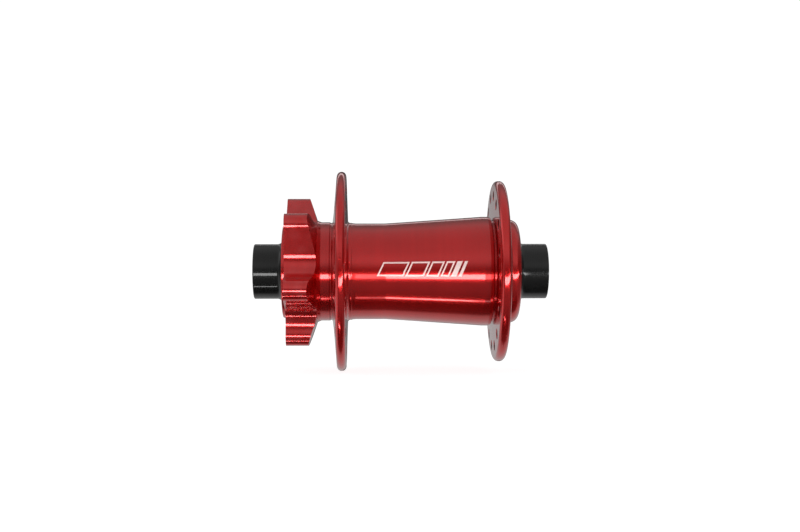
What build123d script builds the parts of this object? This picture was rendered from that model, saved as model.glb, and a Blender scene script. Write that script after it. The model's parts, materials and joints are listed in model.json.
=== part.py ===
"""Front disc hub, 110 mm wide, for a 15 mm thru axle, 32 spokes, six-bolt rotor.

Frame: the spin axis is Y, +Z is up, the origin is on the spin axis midway between the two
end faces. The rotor (left) side is +Y. Millimetres.
"""
import os
from math import cos, radians, sin, tan

from build123d import *

os.makedirs("parts", exist_ok=True)

# Overall
WIDTH = 110.0                 # over the end faces
BORE_R = 15.0 / 2 + 0.05      # clearance bore for the thru axle
FIT = 0.005                   # half of a close fit between pieces that don't move

# Shell, left (rotor) end
LEFT_END = 44.0               # end face of the rotor register
REGISTER_R = 17.45            # rotor centring spigot, 35 mm nominal
ROTOR_FACE = 42.7             # plane the rotor sits on
LOBE_R = 28.4                 # tip radius of the six rotor lobes
LOBE_NOSE_R = 4.1             # each lobe ends in a round nose
LOBE_BACK = 34.22             # back of a lobe at its tip
LOBE_ROOT_R = 19.3            # back cone meets the neck here
LOBE_ROOT = 31.2              # back of a lobe at its root
LOBE_CUT = LOBE_ROOT - 1.4    # right end of the cut that shapes the lobes
LOBE_PHASE = 14.4             # first lobe, degrees from +Z toward +X
HOLLOW_SLOPE = 28.0           # slope of a hollow's flat flank, degrees from the tangent
HOLLOW_R = 7.3                # radius of its other, hollow flank
ROTOR_BOLTS = 6
ROTOR_PITCH = 360.0 / ROTOR_BOLTS
ROTOR_PCD = 44.0
TAP_R = 2.1                   # M5 tapping size
TAP_DEEP = 8.6                # blind
TAP_LEAD = 0.5                # chamfer at the mouth of a tapped hole
NECK_R = 18.5

# Shell, flanges: centre plane, radius, rim thickness, then the two faces
LEFT_FLANGE_Y, LEFT_FLANGE_R, LEFT_FLANGE_T = 22.1, 37.45, 3.5
RIGHT_FLANGE_Y, RIGHT_FLANGE_R, RIGHT_FLANGE_T = -36.87, 33.95, 3.86
LEFT_OUTBOARD = LEFT_FLANGE_Y + LEFT_FLANGE_T / 2
LEFT_INBOARD = LEFT_FLANGE_Y - LEFT_FLANGE_T / 2
RIGHT_INBOARD = RIGHT_FLANGE_Y + RIGHT_FLANGE_T / 2
RIGHT_OUTBOARD = RIGHT_FLANGE_Y - RIGHT_FLANGE_T / 2

# Spokes
SPOKES_EACH = 16
SPOKE_PITCH = 360.0 / SPOKES_EACH
LEFT_PCD, RIGHT_PCD = 64.2, 57.0
LEFT_PHASE = 2.75                             # first hole, degrees from +Z toward +X
RIGHT_PHASE = LEFT_PHASE + SPOKE_PITCH / 2
SPOKE_R = 1.3
SPOKE_SINK_R = 2.05           # countersink, both faces of a flange

# Shell, barrel and right end
WAIST_R, WAIST_LEFT, WAIST_RIGHT = 18.03, 16.8, 5.8
WAIST_TOP_R = WAIST_R + 0.24  # where the waist meets the left flange
LAND_R, LAND_LEFT, LAND_RIGHT = 20.52, -30.45, -32.5
FOOT_R, FOOT_Y = 19.1, -34.4  # foot of the right flange's inboard face
SHOULDER_R = 19.35
RIGHT_END = -44.1

# The straight part of each flange face, foot to rim, as (radius, y)
LEFT_OUTBOARD_FOOT = (LEFT_FLANGE_R - 14.6, LEFT_OUTBOARD + 1.1)
LEFT_OUTBOARD_RIM = (LEFT_FLANGE_R - 2.0, LEFT_OUTBOARD)
LEFT_INBOARD_RIM = (LEFT_FLANGE_R - 2.4, LEFT_INBOARD)
LEFT_INBOARD_FOOT = (WAIST_TOP_R, LEFT_INBOARD - 0.62)
RIGHT_INBOARD_FOOT = (FOOT_R, FOOT_Y)
RIGHT_INBOARD_RIM = (RIGHT_FLANGE_R - 2.2, RIGHT_INBOARD + 0.05)
RIGHT_OUTBOARD_RIM = (RIGHT_FLANGE_R - 2.0, RIGHT_OUTBOARD)
RIGHT_OUTBOARD_FOOT = (SHOULDER_R, RIGHT_OUTBOARD - 1.55)

# Bearings, 20 x 32 x 7
BEARING_IN_R, BEARING_OUT_R, BEARING_W = 10.0, 16.0, 7.0
LEFT_BEARING, RIGHT_BEARING = 38.3, -38.4     # centre planes
LEFT_SEAT = LEFT_BEARING - BEARING_W / 2      # inboard faces
RIGHT_SEAT = RIGHT_BEARING + BEARING_W / 2
BALLS, BALL_R, BALL_PHASE = 11, 1.75, 4.0
BALL_STEP = 360.0 / BALLS
BALL_CIRCLE_R = (BEARING_IN_R + BEARING_OUT_R) / 2
RACE_IN_R = BALL_CIRCLE_R - 1.3               # race shoulders
RACE_OUT_R = BALL_CIRCLE_R + 1.3
GROOVE_R = BALL_R + 0.05
SEAL_SEAT_R = RACE_OUT_R + 0.5
SEAL_SEAT_Y = 2.45            # seal seat starts here, from the centre plane
CAGE_HALF_T, CAGE_HALF_W = 0.85, 2.3
SEAL_GAP = 0.06               # running gap at a seal's lip

# Axle
AXLE_MID_R = 12.0
AXLE_WAIST_R = AXLE_MID_R - 1.5
AXLE_BORE_R = 7.75
AXLE_INSET = 0.2              # axle ends lie this far inside the bearings' outboard faces
SOCKET_R, SOCKET_DEEP = 9.0, 9.0

# End caps
CAP_R = 10.3
SKIRT_R = 15.5
CAP_NECK_R = 12.0
SPIGOT_R, SPIGOT_LEN = SOCKET_R - 0.05, 8.0
RING_GROOVE_DEEP, RING_GROOVE_HALF_W = 0.8, 0.55
RING_R, RING_SECTION_R = SPIGOT_R - RING_GROOVE_DEEP / 2, 0.39


def profile(points):
    """Closed face from (radius, y, corner radius) points; a corner without one is sharp."""
    count = len(points)
    verts = [Vector(p[0], p[1], 0) for p in points]
    corners = []              # (start, middle, end); a sharp corner has no middle
    for i, point in enumerate(points):
        vertex = verts[i]
        fillet_r = point[2] if len(point) > 2 else 0
        if fillet_r <= 0:
            corners.append((vertex, None, vertex))
            continue
        back = (verts[i - 1] - vertex).normalized()
        ahead = (verts[(i + 1) % count] - vertex).normalized()
        half = radians(back.get_angle(ahead)) / 2
        reach = fillet_r / tan(half)
        centre = vertex + (back + ahead).normalized() * (fillet_r / sin(half))
        middle = centre + (vertex - centre).normalized() * fillet_r
        corners.append((vertex + back * reach, middle, vertex + ahead * reach))
    edges = []
    for i, (start, middle, end) in enumerate(corners):
        if middle is not None:
            edges.append(Edge.make_three_point_arc(start, middle, end))
        following = corners[(i + 1) % count][0]
        if (following - end).length > 1e-6:
            edges.append(Edge.make_line(end, following))
    return Face(Wire(edges))


def spun(points):
    """Full turn of a profile about the spin axis."""
    return revolve(profile(points), axis=Axis.Y, revolution_arc=360)


def rod_y(radius, start, end):
    """Solid cylinder along Y between two heights."""
    low, high = min(start, end), max(start, end)
    return Pos(0, (low + high) / 2, 0) * Rot(90, 0, 0) * Cylinder(radius, high - low)


def cone_y(y, small_r, large_r, height, toward):
    """Cone on the Y axis centred at y, its large end toward +Y (1) or -Y (-1)."""
    return Pos(0, y, 0) * Rot(-90 * toward, 0, 0) * Cone(small_r, large_r, height)


def ring_y(major, minor, y):
    """Torus about the Y axis."""
    return Pos(0, y, 0) * Rot(90, 0, 0) * Torus(major, minor)


def around(shape, radius, degrees):
    """Places a shape drawn on the Y axis at a radius and an angle from +Z toward +X."""
    angle = radians(degrees)
    return Pos(radius * sin(angle), 0, radius * cos(angle)) * shape


def shell_blank():
    """Turned shell, before the lobes and holes are cut."""
    outer = [
        (BEARING_OUT_R, LEFT_END, 0.3),
        (REGISTER_R, LEFT_END, 0.4),
        (REGISTER_R, ROTOR_FACE),
        (LOBE_R + 0.5, ROTOR_FACE),
        (LOBE_R + 0.5, LOBE_BACK + 0.22),
        (LOBE_ROOT_R - 0.25, LOBE_ROOT - 0.1, 0.3),
        (NECK_R, LOBE_ROOT - 1.6, 1.1),
        (NECK_R, LEFT_OUTBOARD + 2.6, 0.12),
        (NECK_R - 0.22, LEFT_OUTBOARD + 2.35, 0.12),
        (NECK_R - 0.22, LEFT_OUTBOARD + 1.65, 0.5),
        (*LEFT_OUTBOARD_FOOT, 1.6),
        (*LEFT_OUTBOARD_RIM, 3.0),
        (LEFT_FLANGE_R, LEFT_OUTBOARD, 1.7),
        (LEFT_FLANGE_R, LEFT_INBOARD, 1.7),
        (*LEFT_INBOARD_RIM, 3.0),
        (*LEFT_INBOARD_FOOT, 0.95),
        (WAIST_TOP_R, LEFT_INBOARD - 2.0, 0.1),
        (WAIST_R + 0.12, LEFT_INBOARD - 2.2, 0.1),
        (WAIST_R + 0.06, LEFT_INBOARD - 2.9, 0.3),
        (WAIST_R, WAIST_LEFT),
        (WAIST_R, WAIST_RIGHT),
        (LAND_R, LAND_LEFT, 6.0),
        (LAND_R, LAND_RIGHT),
        (LAND_R - 0.22, LAND_RIGHT - 1.1, 0.5),
        (FOOT_R, LAND_RIGHT - 1.55, 0.12),
        (*RIGHT_INBOARD_FOOT, 0.1),
        (*RIGHT_INBOARD_RIM, 3.0),
        (RIGHT_FLANGE_R, RIGHT_INBOARD, 1.75),
        (RIGHT_FLANGE_R, RIGHT_OUTBOARD, 1.75),
        (*RIGHT_OUTBOARD_RIM, 3.0),
        (*RIGHT_OUTBOARD_FOOT, 0.35),
        (SHOULDER_R, RIGHT_END, 3.0),
        (BEARING_OUT_R, RIGHT_END, 0.2),
    ]
    stop_r, cavity_r = RACE_OUT_R + 0.5, RACE_OUT_R + 1.3
    inner = [
        (BEARING_OUT_R, RIGHT_SEAT),
        (stop_r, RIGHT_SEAT, 0.3),
        (stop_r, RIGHT_SEAT + 3.0, 0.4),
        (cavity_r, RIGHT_SEAT + 4.2, 0.8),
        (cavity_r, LEFT_SEAT - 4.2, 0.8),
        (stop_r, LEFT_SEAT - 3.0, 0.4),
        (stop_r, LEFT_SEAT, 0.3),
        (BEARING_OUT_R, LEFT_SEAT),
    ]
    return spun(outer + inner)


def polar(offset, degrees):
    """Point in the XZ plane; offset is (radial, tangential) about an angle from +Z to +X."""
    angle = radians(degrees)
    return Vector(
        offset.X * sin(angle) + offset.Y * cos(angle), 0,
        offset.X * cos(angle) - offset.Y * sin(angle),
    )


def lobe_star():
    """Star with round noses; each hollow between lobes has one flat and one hollow flank."""
    # One hollow, in (radial, tangential) offsets about its own direction. Its arc is
    # tangent to the flat flank and to the nose on the other side.
    nose_r = LOBE_R - LOBE_NOSE_R
    nose_x, nose_t = nose_r * cos(radians(30)), nose_r * sin(radians(30))
    flat_nose, arc_nose = Vector(nose_x, nose_t, 0), Vector(nose_x, -nose_t, 0)
    slope = radians(HOLLOW_SLOPE)
    normal = Vector(cos(slope), -sin(slope), 0)        # out of the flat flank
    along = Vector(-sin(slope), -cos(slope), 0)        # down the flat flank
    reach = HOLLOW_R + LOBE_NOSE_R
    root = (nose_t * reach * sin(slope) - (nose_t * sin(slope)) ** 2) ** 0.5
    flat_length = 2 * nose_t * cos(slope) - 2 * root
    centre = flat_nose + normal * reach + along * flat_length
    flank_top = flat_nose + normal * LOBE_NOSE_R
    flank_foot = centre - normal * HOLLOW_R
    nose_foot = centre + (arc_nose - centre) * (HOLLOW_R / reach)
    hollow_low = centre * (1 - HOLLOW_R / centre.length)

    edges = []
    for i in range(ROTOR_BOLTS):
        angle = LOBE_PHASE + ROTOR_PITCH / 2 - ROTOR_PITCH * i     # direction of one hollow
        foot, nose = polar(flank_foot, angle), polar(nose_foot, angle)
        tip = polar(Vector(LOBE_R, 0, 0), angle - ROTOR_PITCH / 2)
        following = polar(flank_top, angle - ROTOR_PITCH)
        edges += [
            Edge.make_line(polar(flank_top, angle), foot),
            Edge.make_three_point_arc(foot, polar(hollow_low, angle), nose),
            Edge.make_three_point_arc(nose, tip, following),
        ]
    star = extrude(Face(Wire(edges)), amount=30.0, dir=(0, 1, 0))
    return Pos(0, LOBE_CUT, 0) * star


def rotor_taps():
    """Blind tapped holes for the rotor bolts, with a lead at each mouth."""
    hole = rod_y(TAP_R, ROTOR_FACE - TAP_DEEP, ROTOR_FACE + 1.0)
    lead = cone_y(ROTOR_FACE - TAP_LEAD / 2, TAP_R, TAP_R + TAP_LEAD, TAP_LEAD + 0.002, 1)
    pieces = []
    for i in range(ROTOR_BOLTS):
        angle = LOBE_PHASE + ROTOR_PITCH * i
        pieces += [around(hole, ROTOR_PCD / 2, angle), around(lead, ROTOR_PCD / 2, angle)]
    taps = pieces[0]
    for piece in pieces[1:]:
        taps += piece
    return taps


def face_at(foot, rim, radius):
    """Y of a flange face at a radius, between two of its section points."""
    return foot[1] + (rim[1] - foot[1]) * (radius - foot[0]) / (rim[0] - foot[0])


def spoke_drills(pcd, phase, left_face, right_face):
    """Cutters for one flange's spoke holes, countersunk on both faces."""
    sink = 2 * (SPOKE_SINK_R - SPOKE_R)       # cone height; it is centred on the face
    drill = rod_y(SPOKE_R, left_face + 2.0, right_face - 2.0)
    drill += cone_y(left_face, SPOKE_R, SPOKE_R + sink, sink, 1)
    drill += cone_y(right_face, SPOKE_R, SPOKE_R + sink, sink, -1)
    return [around(drill, pcd / 2, phase + i * SPOKE_PITCH) for i in range(SPOKES_EACH)]


def hub_shell():
    shell = shell_blank()
    shell -= rod_y(LOBE_R + 4.0, LOBE_CUT, ROTOR_FACE + 0.2) - lobe_star()
    shell -= rotor_taps()
    drills = spoke_drills(
        LEFT_PCD, LEFT_PHASE,
        face_at(LEFT_OUTBOARD_FOOT, LEFT_OUTBOARD_RIM, LEFT_PCD / 2),
        face_at(LEFT_INBOARD_FOOT, LEFT_INBOARD_RIM, LEFT_PCD / 2),
    ) + spoke_drills(
        RIGHT_PCD, RIGHT_PHASE,
        face_at(RIGHT_INBOARD_FOOT, RIGHT_INBOARD_RIM, RIGHT_PCD / 2),
        face_at(RIGHT_OUTBOARD_FOOT, RIGHT_OUTBOARD_RIM, RIGHT_PCD / 2),
    )
    for drill in drills:
        shell -= drill
    return shell


def axle():
    """Hollow axle with a bearing seat and an end cap socket at each end."""
    left = LEFT_BEARING + BEARING_W / 2 - AXLE_INSET
    right = RIGHT_BEARING - BEARING_W / 2 + AXLE_INSET
    seat_r = BEARING_IN_R - FIT
    return spun([
        (SOCKET_R, left, 0.25),
        (seat_r, left, 0.25),
        (seat_r, LEFT_SEAT),
        (AXLE_MID_R, LEFT_SEAT, 0.3),
        (AXLE_MID_R, LEFT_SEAT - 3.0, 0.5),
        (AXLE_WAIST_R, LEFT_SEAT - 5.0, 1.0),
        (AXLE_WAIST_R, RIGHT_SEAT + 5.0, 1.0),
        (AXLE_MID_R, RIGHT_SEAT + 3.0, 0.5),
        (AXLE_MID_R, RIGHT_SEAT, 0.3),
        (seat_r, RIGHT_SEAT),
        (seat_r, right, 0.25),
        (SOCKET_R, right, 0.25),
        (SOCKET_R, right + SOCKET_DEEP),
        (AXLE_BORE_R, right + SOCKET_DEEP + 0.8),
        (AXLE_BORE_R, left - SOCKET_DEEP - 0.8),
        (SOCKET_R, left - SOCKET_DEEP),
    ])


# In the functions below, mid is a bearing's centre plane and out is the outward
# direction along Y: 1 for the left side, -1 for the right.

def inner_race(mid):
    low, high = mid - BEARING_W / 2, mid + BEARING_W / 2
    return spun([
        (BEARING_IN_R, low, 0.3),
        (RACE_IN_R, low, 0.25),
        (RACE_IN_R, high, 0.25),
        (BEARING_IN_R, high, 0.3),
    ]) - ring_y(BALL_CIRCLE_R, GROOVE_R, mid)


def outer_race(mid):
    low, high = mid - BEARING_W / 2, mid + BEARING_W / 2
    return spun([
        (SEAL_SEAT_R, low),
        (BEARING_OUT_R - FIT, low, 0.3),
        (BEARING_OUT_R - FIT, high, 0.3),
        (SEAL_SEAT_R, high),
        (SEAL_SEAT_R, mid + SEAL_SEAT_Y),
        (RACE_OUT_R, mid + SEAL_SEAT_Y),
        (RACE_OUT_R, mid - SEAL_SEAT_Y),
        (SEAL_SEAT_R, mid - SEAL_SEAT_Y),
    ]) - ring_y(BALL_CIRCLE_R, GROOVE_R, mid)


def ball_set(mid):
    return Compound(children=[
        around(Pos(0, mid, 0) * Sphere(BALL_R), BALL_CIRCLE_R, i * BALL_STEP + BALL_PHASE)
        for i in range(BALLS)
    ])


def cage(mid):
    """Plain ring with a round radial pocket for each ball."""
    near, far = BALL_CIRCLE_R - CAGE_HALF_T, BALL_CIRCLE_R + CAGE_HALF_T
    low, high = mid - CAGE_HALF_W, mid + CAGE_HALF_W
    ring = spun([(near, low, 0.15), (far, low, 0.15), (far, high, 0.15), (near, high, 0.15)])
    for i in range(BALLS):
        turn = Rot(0, i * BALL_STEP + BALL_PHASE, 0)
        ring -= turn * Pos(0, mid, BALL_CIRCLE_R) * Cylinder(BALL_R + 0.08, 8.0)
    return ring


def bearing_seal(mid, away):
    """Seal on one face of a bearing; away (1 or -1) points out of that face."""
    inside, outside = mid + away * 2.5, mid + away * 3.35
    return spun([
        (RACE_IN_R + SEAL_GAP, inside + away * 0.25, 0.08),
        (RACE_IN_R + 0.75, inside, 0.1),
        (SEAL_SEAT_R - 0.02, inside, 0.1),
        (SEAL_SEAT_R - 0.02, outside, 0.15),
        (RACE_IN_R + 1.1, outside, 0.15),
        (RACE_IN_R + 0.8, outside - away * 0.2, 0.1),
        (RACE_IN_R + 0.3, outside, 0.1),
        (RACE_IN_R + SEAL_GAP, outside - away * 0.1, 0.08),
    ])


def end_cap(out, race_face, groove, shell_end):
    back = shell_end - out * 0.8
    end = out * WIDTH / 2
    tip = race_face - out * SPIGOT_LEN
    groove_r = SPIGOT_R - RING_GROOVE_DEEP
    half_w = out * RING_GROOVE_HALF_W
    return spun([
        (BORE_R, tip, 0.2),
        (SPIGOT_R, tip, 0.35),
        (SPIGOT_R, groove - half_w),
        (groove_r, groove - half_w),
        (groove_r, groove + half_w),
        (SPIGOT_R, groove + half_w),
        (SPIGOT_R, race_face),
        (CAP_NECK_R - 0.45, race_face),
        (CAP_NECK_R - 0.45, race_face + out * 0.35),
        (CAP_NECK_R, race_face + out * 0.35, 0.1),
        (CAP_NECK_R, back),
        (SKIRT_R, back, 0.12),
        (SKIRT_R, back + out * 0.75, 0.3),
        (CAP_R, back + out * 1.35, 1.8),
        (CAP_R, end - out * 0.05, 0.45),
        (CAP_R - 1.3, end - out * 0.05, 0.25),
        (CAP_R - 1.45, end),
        (BORE_R, end, 0.45),
    ])


def dust_seal(out, race_face, shell_end):
    """Lip seal between the shell and the neck of an end cap."""
    inside, outside = race_face + out * 0.12, shell_end - out * 1.0
    return spun([
        (CAP_NECK_R + SEAL_GAP, outside - out * 0.4, 0.06),
        (CAP_NECK_R + 0.6, outside - out * 0.6, 0.1),
        (CAP_NECK_R + 1.5, outside - out * 0.6, 0.1),
        (CAP_NECK_R + 1.9, inside, 0.1),
        (BEARING_OUT_R - FIT, inside, 0.2),
        (BEARING_OUT_R - FIT, outside, 0.25),
        (CAP_NECK_R + 1.2, outside, 0.2),
        (CAP_NECK_R + SEAL_GAP, outside - out * 0.18, 0.06),
    ])


parts = {"hub_shell": hub_shell(), "axle": axle()}
for side, out, mid, shell_end in (
    ("left", 1, LEFT_BEARING, LEFT_END),
    ("right", -1, RIGHT_BEARING, RIGHT_END),
):
    race_face = mid + out * BEARING_W / 2     # outboard face of the bearing
    groove = race_face - out * 4.0            # centre plane of the rubber ring
    parts |= {
        f"bearing_inner_race_{side}": inner_race(mid),
        f"bearing_outer_race_{side}": outer_race(mid),
        f"bearing_balls_{side}": ball_set(mid),
        f"bearing_cage_{side}": cage(mid),
        f"bearing_outer_seal_{side}": bearing_seal(mid, out),
        f"bearing_inner_seal_{side}": bearing_seal(mid, -out),
        f"end_cap_{side}": end_cap(out, race_face, groove, shell_end),
        f"end_cap_o_ring_{side}": ring_y(RING_R, RING_SECTION_R, groove),
        f"dust_seal_{side}": dust_seal(out, race_face, shell_end),
    }

for name, shape in parts.items():
    shape.label = name
    export_step(shape, f"parts/{name}.step")
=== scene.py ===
import json
import math

import bpy
from mathutils import Matrix, Vector


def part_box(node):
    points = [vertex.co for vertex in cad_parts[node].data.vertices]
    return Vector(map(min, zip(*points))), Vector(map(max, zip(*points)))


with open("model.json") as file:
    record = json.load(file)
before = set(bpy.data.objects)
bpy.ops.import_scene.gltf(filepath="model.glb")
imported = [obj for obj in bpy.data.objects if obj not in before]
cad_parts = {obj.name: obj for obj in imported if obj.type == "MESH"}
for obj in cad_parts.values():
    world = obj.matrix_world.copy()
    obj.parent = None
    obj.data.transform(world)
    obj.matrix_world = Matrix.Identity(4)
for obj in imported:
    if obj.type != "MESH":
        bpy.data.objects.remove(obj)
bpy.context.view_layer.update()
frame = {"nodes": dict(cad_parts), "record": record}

scene = bpy.context.scene
scene.view_settings.view_transform = "Standard"
scene.view_settings.look = "None"
MM = 0.001


# ---------------------------------------------------------------- node helpers
class Net:
    """Short-hand for building one node tree."""

    def __init__(self, tree):
        self.t = tree
        self.t.nodes.clear()

    def add(self, kind, **props):
        n = self.t.nodes.new(kind)
        for k, v in props.items():
            setattr(n, k, v)
        return n

    def put(self, socket, value):
        if isinstance(value, bpy.types.NodeSocket):
            self.t.links.new(value, socket)
        elif value is not None:
            socket.default_value = value

    def math(self, op, a, b=None, c=None, clamp=False):
        n = self.add("ShaderNodeMath", operation=op, use_clamp=clamp)
        for s, v in zip(n.inputs, (a, b, c)):
            self.put(s, v)
        return n.outputs[0]

    def ramp(self, value, stops, mode="LINEAR"):
        n = self.add("ShaderNodeValToRGB")
        n.color_ramp.interpolation = mode
        els = n.color_ramp.elements
        while len(els) > 1:
            els.remove(els[-1])
        for i, (p, c) in enumerate(stops):
            e = els[0] if i == 0 else els.new(p)
            e.position = p
            e.color = (c, c, c, 1) if isinstance(c, (int, float)) else (*c[:3], 1)
        self.put(n.inputs[0], value)
        return n.outputs[0]

    def span(self, value, a, b, c=0.0, d=1.0, kind="LINEAR"):
        n = self.add("ShaderNodeMapRange", interpolation_type=kind)
        for s, v in zip(n.inputs, (value, a, b, c, d)):
            self.put(s, v)
        return n.outputs[0]

    def noise(self, vector, scale, detail=3.0, rough=0.5, dims="3D"):
        n = self.add("ShaderNodeTexNoise", noise_dimensions=dims)
        self.put(n.inputs["Vector"], vector)
        n.inputs["Scale"].default_value = scale
        n.inputs["Detail"].default_value = detail
        n.inputs["Roughness"].default_value = rough
        return n.outputs["Fac"]

    def mix(self, fac, a, b):
        n = self.add("ShaderNodeMix", data_type="RGBA")
        self.put(n.inputs[0], fac)
        self.put(n.inputs[6], a)
        self.put(n.inputs[7], b)
        return n.outputs[2]

    def vec(self, x, y, z):
        n = self.add("ShaderNodeCombineXYZ")
        for s, v in zip(n.inputs, (x, y, z)):
            self.put(s, v)
        return n.outputs[0]

    def bump(self, height, strength, distance, normal=None):
        n = self.add("ShaderNodeBump")
        n.inputs["Strength"].default_value = strength
        n.inputs["Distance"].default_value = distance
        self.put(n.inputs["Height"], height)
        if normal is not None:
            self.put(n.inputs["Normal"], normal)
        return n.outputs[0]


def material(name):
    m = bpy.data.materials.new(name)
    m.use_nodes = True
    net = Net(m.node_tree)
    bsdf = net.add("ShaderNodeBsdfPrincipled")
    out = net.add("ShaderNodeOutputMaterial")
    net.t.links.new(bsdf.outputs[0], out.inputs[0])
    co = net.add("ShaderNodeTexCoord").outputs["Object"]
    sep = net.add("ShaderNodeSeparateXYZ")
    net.put(sep.inputs[0], co)
    x, y, z = sep.outputs
    r = net.math("SQRT", net.math("ADD", net.math("MULTIPLY", x, x), net.math("MULTIPLY", z, z)))
    return m, net, bsdf, co, (x, y, z, r)


def setp(net, bsdf, **kw):
    for k, v in kw.items():
        net.put(bsdf.inputs[k.replace("_", " ")], v)


def lathe(net, y, r, pitch_mm, detail=2.0):
    """Grey value that is constant around the spin axis: fine circles, as a lathe tool leaves."""
    k = 1.0 / (pitch_mm * MM)
    return net.noise(net.vec(net.math("MULTIPLY", y, k), net.math("MULTIPLY", r, k), 0.0), 1.0, detail, 0.6, "2D")


# ---------------------------------------------------------------- anodised shell
def red_shell():
    m, net, b, co, (x, y, z, r) = material("anodised_red")
    cloud = net.noise(co, 55.0, 3.0)
    fine = lathe(net, y, r, 0.16)
    broad = lathe(net, y, r, 1.7)
    grain = net.noise(co, 5200.0, 2.0)
    # dye depth varies a little with the cloud and with the tool marks
    deep, light = (0.56, 0.0050, 0.0050, 1), (0.68, 0.0090, 0.0085, 1)
    tone = net.math("ADD", net.math("MULTIPLY", cloud, 0.7), net.math("MULTIPLY", broad, 0.3))
    col = net.mix(net.span(tone, 0.3, 0.7), deep, light)
    geo = net.add("ShaderNodeNewGeometry")
    edge = net.span(geo.outputs["Pointiness"], 0.515, 0.60)
    worn = net.math("MULTIPLY", edge, net.span(net.noise(co, 260.0, 4.0), 0.35, 0.7), clamp=True)
    col = net.mix(net.math("MULTIPLY", worn, 0.35), col, (0.78, 0.10, 0.10, 1))

    # plain etched stripes on the barrel, where the maker's lettering would be
    ang = net.math("ARCTAN2", z, net.math("MULTIPLY", x, -1.0))
    s = net.math("MULTIPLY", ang, 19.1 * MM)                  # arc length, up is positive
    v = net.math("SUBTRACT", s, 0.9 * MM)
    front = net.math("LESS_THAN", x, 0.0)
    u = net.math("MULTIPLY", y, -1.0)
    slanted = net.math("SUBTRACT", u, net.math("MULTIPLY", v, 0.45))
    mark = None
    start = -7.8
    for k, wide in enumerate((9.6, 6.6, 4.5, 3.0, 1.9, 1.1)):
        mid = (start + wide / 2) * MM
        d_u = net.math("SUBTRACT", net.math("ABSOLUTE", net.math("SUBTRACT", slanted, mid)), wide / 2 * MM)
        d_v = net.math("SUBTRACT", net.math("ABSOLUTE", v), 2.7 * MM)
        d = net.math("MAXIMUM", d_u, d_v)
        line = net.span(net.math("ABSOLUTE", net.math("ADD", d, 0.27 * MM)), 0.31 * MM, 0.26 * MM)
        if k >= 4:
            line = net.span(d, 0.02 * MM, -0.03 * MM)
        mark = line if mark is None else net.math("MAXIMUM", mark, line)
        start += wide + 0.8
    mark = net.math("MULTIPLY", mark, front)
    col = net.mix(mark, col, (1.0, 0.80, 0.77, 1))
    # painted shade: holes and grooves hold no light, so an AO mask and the spoke-hole positions darken the base
    # colour to near black, thin the coat and roughen the surface there
    ao = net.add("ShaderNodeAmbientOcclusion", samples=16)
    ao.inputs["Distance"].default_value = 0.0026
    unshaded_mask = net.span(ao.outputs["AO"], 0.12, 0.62, 0.04, 1.0, "SMOOTHSTEP")
    recess_shade = net.math("MULTIPLY", net.math("SUBTRACT", 1.0, unshaded_mask), net.span(y, 16.0 * MM, 20.0 * MM, 0.12, 1.0))
    unshaded_mask = net.math("SUBTRACT", 1.0, recess_shade)
    # painted shade inside the spoke holes of both flanges
    turn = net.math("ARCTAN2", x, z)
    pitch = math.radians(22.5)
    for mid_y, circle, phase in ((22.1, 32.1, 2.75), (-36.87, 28.5, 14.0)):
        t = net.math("SUBTRACT", turn, math.radians(phase) - pitch / 2 + 2 * math.pi)
        t = net.math("SUBTRACT", net.math("FLOORED_MODULO", t, pitch), pitch / 2)
        across = net.math("MULTIPLY", r, net.math("SINE", t))
        out_r = net.math("SUBTRACT", net.math("MULTIPLY", r, net.math("COSINE", t)), circle * MM)
        off = net.math("SQRT", net.math("ADD", net.math("MULTIPLY", across, across), net.math("MULTIPLY", out_r, out_r)))
        near = net.math("LESS_THAN", net.math("ABSOLUTE", net.math("SUBTRACT", y, mid_y * MM)), 2.6 * MM)
        bore_shade = net.math("MULTIPLY", near, net.span(off, 2.06 * MM, 1.84 * MM, 0.0, 1.0, "SMOOTHSTEP"))
        unshaded_mask = net.math("MULTIPLY", unshaded_mask, net.math("SUBTRACT", 1.0, net.math("MULTIPLY", bore_shade, 0.95)))
    # painted shade colour (near black) wherever the unshaded mask is low
    col = net.mix(unshaded_mask, (0.006, 0.0004, 0.0004, 1), col)
    rough = net.math("ADD", 0.15, net.math("MULTIPLY", net.math("ADD", net.math("MULTIPLY", fine, 0.5), net.math("MULTIPLY", cloud, 0.5)), 0.05))
    rough = net.math("ADD", rough, net.math("MULTIPLY", mark, 0.35))
    rough = net.math("ADD", rough, net.math("MULTIPLY", net.math("SUBTRACT", 1.0, unshaded_mask), 0.30))
    h = net.math("ADD", net.math("MULTIPLY", fine, 1.0), net.math("MULTIPLY", grain, 0.5))
    n1 = net.bump(h, 0.09, 0.0000020)
    n2 = net.bump(mark, 0.5, -0.00002, n1)
    n3 = net.bump(net.math("MULTIPLY", fine, 1.0), 0.03, 0.0000010)
    setp(net, b, Base_Color=col, Metallic=net.math("SUBTRACT", 0.72, net.math("MULTIPLY", mark, 0.2)), Roughness=rough, Normal=n2,
         Coat_Weight=net.math("MULTIPLY", net.math("SUBTRACT", 1.0, net.math("MULTIPLY", mark, 0.7)), unshaded_mask),
         Coat_Roughness=net.math("ADD", 0.022, net.math("MULTIPLY", cloud, 0.02)),
         Coat_IOR=1.50, Coat_Normal=n3)
    return m


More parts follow.
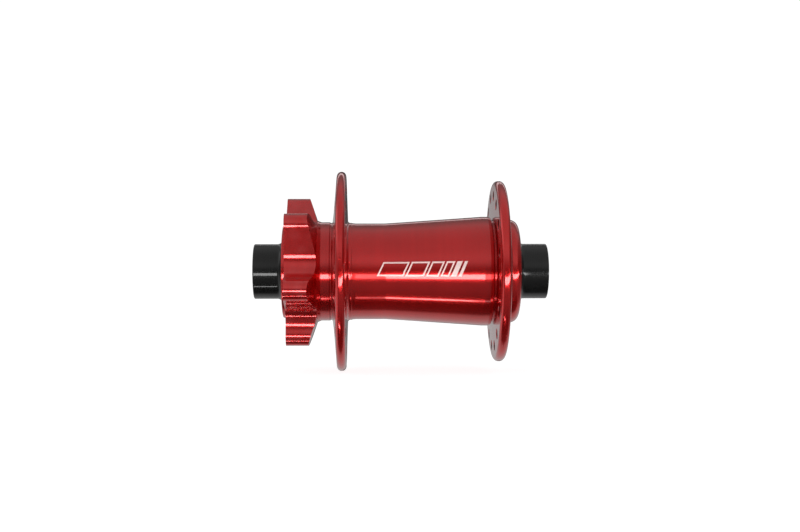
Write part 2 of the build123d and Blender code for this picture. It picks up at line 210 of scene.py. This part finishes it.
def black_cap():
    m, net, b, co, (x, y, z, r) = material("anodised_black")
    cloud = net.noise(co, 90.0, 3.0)
    fine = lathe(net, y, r, 0.13)
    col = net.mix(net.span(cloud, 0.3, 0.7), (0.006, 0.0062, 0.006, 1), (0.010, 0.0105, 0.010, 1))
    geo = net.add("ShaderNodeNewGeometry")
    edge = net.span(geo.outputs["Pointiness"], 0.52, 0.62)
    worn = net.math("MULTIPLY", edge, net.span(net.noise(co, 420.0, 4.0), 0.42, 0.72), clamp=True)
    col = net.mix(net.math("MULTIPLY", worn, 0.55), col, (0.16, 0.16, 0.165, 1))
    rough = net.math("ADD", 0.24, net.math("MULTIPLY", fine, 0.08))
    n1 = net.bump(fine, 0.05, 0.0000012)
    setp(net, b, Base_Color=col, Metallic=0.0, Roughness=rough, Normal=n1, Coat_Weight=0.62,
         Coat_Roughness=net.math("ADD", 0.018, net.math("MULTIPLY", fine, 0.02)), Coat_IOR=1.5)
    b.inputs["Specular IOR Level"].default_value = 0.12
    return m


def turned_metal(name, a, bcol, rough0, pitch, coat=0.0, depth=0.000004):
    m, net, b, co, (x, y, z, r) = material(name)
    cloud = net.noise(co, 140.0, 3.0)
    fine = lathe(net, y, r, pitch)
    col = net.mix(net.span(net.math("ADD", net.math("MULTIPLY", cloud, 0.5), net.math("MULTIPLY", fine, 0.5)), 0.3, 0.7), a, bcol)
    rough = net.math("ADD", rough0, net.math("MULTIPLY", fine, 0.16))
    setp(net, b, Base_Color=col, Metallic=1.0, Roughness=rough, Normal=net.bump(fine, 0.4, depth), Coat_Weight=coat, Coat_Roughness=0.1)
    return m


def ball_metal():
    m, net, b, co, (x, y, z, r) = material("polished_ball_steel")
    oil = net.noise(co, 900.0, 4.0)
    col = net.mix(net.span(oil, 0.35, 0.65), (0.62, 0.62, 0.63, 1), (0.74, 0.73, 0.71, 1))
    setp(net, b, Base_Color=col, Metallic=1.0, Roughness=net.span(oil, 0.3, 0.7, 0.05, 0.16),
         Normal=net.bump(oil, 0.1, 0.000002), Coat_Weight=0.3, Coat_Roughness=0.05)
    return m


def moulded(name, a, bcol, rough0, scale, depth=0.000012, sheen=0.0):
    m, net, b, co, (x, y, z, r) = material(name)
    cloud = net.noise(co, scale * 0.07, 3.0)
    grain = net.noise(co, scale, 3.0)
    ring = lathe(net, y, r, 0.5)
    col = net.mix(net.span(net.math("ADD", net.math("MULTIPLY", cloud, 0.6), net.math("MULTIPLY", grain, 0.4)), 0.3, 0.7), a, bcol)
    h = net.math("ADD", net.math("MULTIPLY", grain, 0.7), net.math("MULTIPLY", ring, 0.5))
    setp(net, b, Base_Color=col, Metallic=0.0, Roughness=net.span(grain, 0.3, 0.7, rough0 - 0.07, rough0 + 0.08),
         Normal=net.bump(h, 0.35, depth), Sheen_Weight=sheen)
    return m


mats = {
    "shell_red": red_shell(),
    "cap_black": black_cap(),
    "axle_metal": turned_metal("turned_axle_alloy", (0.50, 0.50, 0.52, 1), (0.68, 0.68, 0.69, 1), 0.24, 0.12, 0.3),
    "bearing_steel": turned_metal("ground_race_steel", (0.46, 0.46, 0.47, 1), (0.62, 0.62, 0.62, 1), 0.16, 0.06, 0.0, 0.000002),
    "ball_steel": ball_metal(),
    "cage_plastic": moulded("nylon_cage", (0.50, 0.46, 0.36, 1), (0.62, 0.58, 0.47, 1), 0.5, 2600.0),
    "bearing_seal_rubber": moulded("bearing_seal_rubber", (0.010, 0.010, 0.012, 1), (0.022, 0.022, 0.024, 1), 0.55, 3800.0, 0.00001, 0.05),
    "ring_rubber": moulded("ring_rubber", (0.011, 0.011, 0.011, 1), (0.021, 0.021, 0.021, 1), 0.48, 3200.0),
    "lip_seal_rubber": moulded("lip_seal_rubber", (0.011, 0.011, 0.012, 1), (0.024, 0.024, 0.025, 1), 0.6, 3000.0),
}
slots = {p["node"]: p["material_slot"] for p in frame["record"]["subparts"]}
for name, obj in frame["nodes"].items():
    obj.data.materials.clear()
    obj.data.materials.append(mats[slots[name]])

# ---------------------------------------------------------------- studio
world = bpy.data.worlds.new("studio")
scene.world = world
world.use_nodes = True
w = Net(world.node_tree)
out = w.add("ShaderNodeOutputWorld")
gen = w.add("ShaderNodeTexCoord").outputs["Generated"]
sep = w.add("ShaderNodeSeparateXYZ")
w.put(sep.inputs[0], gen)
dx, dy, dz = sep.outputs
a = w.math("MULTIPLY", w.math("ARCTAN2", dz, w.math("MULTIPLY", dx, -1.0)), 180.0 / math.pi)
across = w.math("MAXIMUM", w.math("SQRT", w.math("ADD", w.math("MULTIPLY", dx, dx), w.math("MULTIPLY", dz, dz))), 0.0001)
v = w.math("DIVIDE", w.math("MULTIPLY", dy, -1.0), across)

TOP = 6.0
stops = [
    (-180, 0.41), (-125, 0.53), (-111, 0.46), (-103, 0.06), (-78, 0.02), (-58, 0.10), (-40, 0.18),
    (-22, 0.18), (-6, 0.10), (2, 0.06), (8, 0.20), (14, 0.38), (21, 0.56), (32, 0.58), (45, 0.50),
    (70, 0.46), (95, 0.48), (114, 0.44), (124, 0.32), (135, 0.20), (150, 0.10), (163, 0.07),
    (172, 0.25), (180, 0.41),
]
base = w.ramp(w.span(a, -180.0, 180.0), [((p + 180) / 360, L / TOP) for p, L in stops])
base = w.math("MULTIPLY", base, TOP)


def band(centre, half, soft):
    d = w.math("ABSOLUTE", w.math("SUBTRACT", a, centre))
    return w.span(d, half + soft, half - soft, 0.0, 1.0, "SMOOTHSTEP")


dull = w.math("MULTIPLY", w.span(v, -0.024, -0.012, 0.0, 1.0, "SMOOTHSTEP"), w.span(v, 0.101, 0.095, 0.0, 1.0, "SMOOTHSTEP"))
gap = w.math("MULTIPLY", w.span(v, 0.117, 0.122, 0.0, 1.0, "SMOOTHSTEP"), w.span(v, 0.190, 0.175, 0.0, 1.0, "SMOOTHSTEP"))
key = w.math("MULTIPLY", band(-12.0, 5.0, 1.0), w.math("SUBTRACT", 1.0, gap))
key = w.math("MULTIPLY", key, w.span(v, 3.2, 2.6, 0.0, 1.0, "SMOOTHSTEP"))
key = w.math("MULTIPLY", key, w.math("SUBTRACT", 1.0, w.math("MULTIPLY", dull, 0.78)))
key = w.math("MULTIPLY", key, w.span(v, -0.5, -0.42, 0.0, 1.0, "SMOOTHSTEP"))
low = w.math("MULTIPLY", band(-66.0, 1.7, 0.7), w.span(v, 0.098, 0.090, 0.0, 1.0, "SMOOTHSTEP"))
low = w.math("MULTIPLY", low, w.span(v, -0.6, -0.4, 0.0, 1.0, "SMOOTHSTEP"))
low = w.math("MULTIPLY", low, w.span(v, -0.045, -0.03, 1.0, 0.22, "SMOOTHSTEP"))
rim = w.math("MULTIPLY", band(152.0, 4.0, 1.5), w.span(w.math("ABSOLUTE", v), 0.9, 0.6, 0.0, 1.0, "SMOOTHSTEP"))
# a dark board straight behind the hub, met by the grazing edges and by the flat face of the larger flange
board = w.span(v, 0.16, 0.13, 0.0, 1.0, "SMOOTHSTEP")
above = w.math("MULTIPLY", w.span(v, -0.038, -0.030, 0.0, 1.0, "SMOOTHSTEP"), w.span(a, 158.0, 164.0, 0.0, 0.85, "SMOOTHSTEP"))
below = w.math("MULTIPLY", w.span(v, 0.02, 0.04, 0.0, 1.0, "SMOOTHSTEP"), w.span(a, -158.0, -164.0, 0.0, 0.6, "SMOOTHSTEP"))
edge = w.math("MULTIPLY", board, w.math("ADD", above, below))
base = w.math("MULTIPLY", base, w.math("SUBTRACT", 1.0, edge))
L = w.math("ADD", base, w.math("MULTIPLY", low, 7.5))
L = w.math("ADD", L, w.math("MULTIPLY", rim, 0.8))
# towards the two ends of the spin axis the room is a plain soft gradient
ends = w.ramp(w.span(dz, -1.0, 1.0), [(0.0, 0.9), (0.42, 0.75), (0.49, 0.30), (0.60, 0.35), (0.72, 0.95), (1.0, 0.7)])
side = w.span(w.math("ABSOLUTE", dy), 0.62, 0.86, 0.0, 1.0, "SMOOTHSTEP")
away = w.span(dy, -0.55, -0.85, 1.0, 0.20, "SMOOTHSTEP")       # the rotor-less side of the room is dimmer
L = w.math("ADD", w.math("MULTIPLY", L, w.math("SUBTRACT", 1.0, side)), w.math("MULTIPLY", w.math("MULTIPLY", ends, away), side))
L = w.math("ADD", L, w.math("MULTIPLY", key, 9.0))
lp = w.add("ShaderNodeLightPath")
room = w.add("ShaderNodeBackground")
w.put(room.inputs["Strength"], L)
room.inputs["Color"].default_value = (1, 1, 1, 1)
seen = w.add("ShaderNodeBackground")
seen.inputs["Color"].default_value = (1, 1, 1, 1)
seen.inputs["Strength"].default_value = 1.05
mixed = w.add("ShaderNodeMixShader")
w.put(mixed.inputs[0], lp.outputs["Is Camera Ray"])
w.put(mixed.inputs[1], room.outputs[0])
w.put(mixed.inputs[2], seen.outputs[0])
w.put(out.inputs[0], mixed.outputs[0])
world.cycles.sampling_method = "MANUAL"
world.cycles.sample_map_resolution = 2048

# pale floor under the larger flange
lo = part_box("hub_shell")[0]
mesh = bpy.data.meshes.new("floor")
s, zf = 6.0, lo.z - 0.0002
mesh.from_pydata([(-s, -s, zf), (s, -s, zf), (s, s, zf), (-s, s, zf)], [], [(0, 1, 2, 3)])
floor = bpy.data.objects.new("floor", mesh)
scene.collection.objects.link(floor)
fm = bpy.data.materials.new("pale_floor")
fm.use_nodes = True
f = Net(fm.node_tree)
fo = f.add("ShaderNodeOutputMaterial")
dif = f.add("ShaderNodeBsdfDiffuse")
dif.inputs["Color"].default_value = (0.42, 0.42, 0.42, 1)
emi = f.add("ShaderNodeEmission")
emi.inputs["Strength"].default_value = 0.90
addn = f.add("ShaderNodeAddShader")
f.put(addn.inputs[0], dif.outputs[0])
f.put(addn.inputs[1], emi.outputs[0])
f.put(fo.inputs[0], addn.outputs[0])
mesh.materials.append(fm)
floor.visible_glossy = False
floor.visible_diffuse = False
floor.visible_shadow = False

# ---------------------------------------------------------------- camera
FOCAL_PX, DIST, YAW = 1325.0, 0.500, 0.0232
fwd = Vector((math.cos(YAW), -math.sin(YAW), 0.0))
right = Vector((-math.sin(YAW), -math.cos(YAW), 0.0))
up = Vector((0, 0, 1))
target = Vector((0.0, 0.17 * MM, 0.0))
pos = target - fwd * DIST + up * (5.3 * DIST / FOCAL_PX)
cam_data = bpy.data.cameras.new("camera")
cam_data.sensor_fit = "HORIZONTAL"
cam_data.sensor_width = 36.0
cam_data.lens = FOCAL_PX / 800.0 * 36.0
cam_data.clip_start = 0.01
cam_data.clip_end = 50.0
cam = bpy.data.objects.new("camera", cam_data)
scene.collection.objects.link(cam)
rot = Matrix((right, up, -fwd)).transposed() @ Matrix.Rotation(-0.0015, 3, "Z")
cam.matrix_world = Matrix.Translation(pos) @ rot.to_4x4()
scene.camera = cam
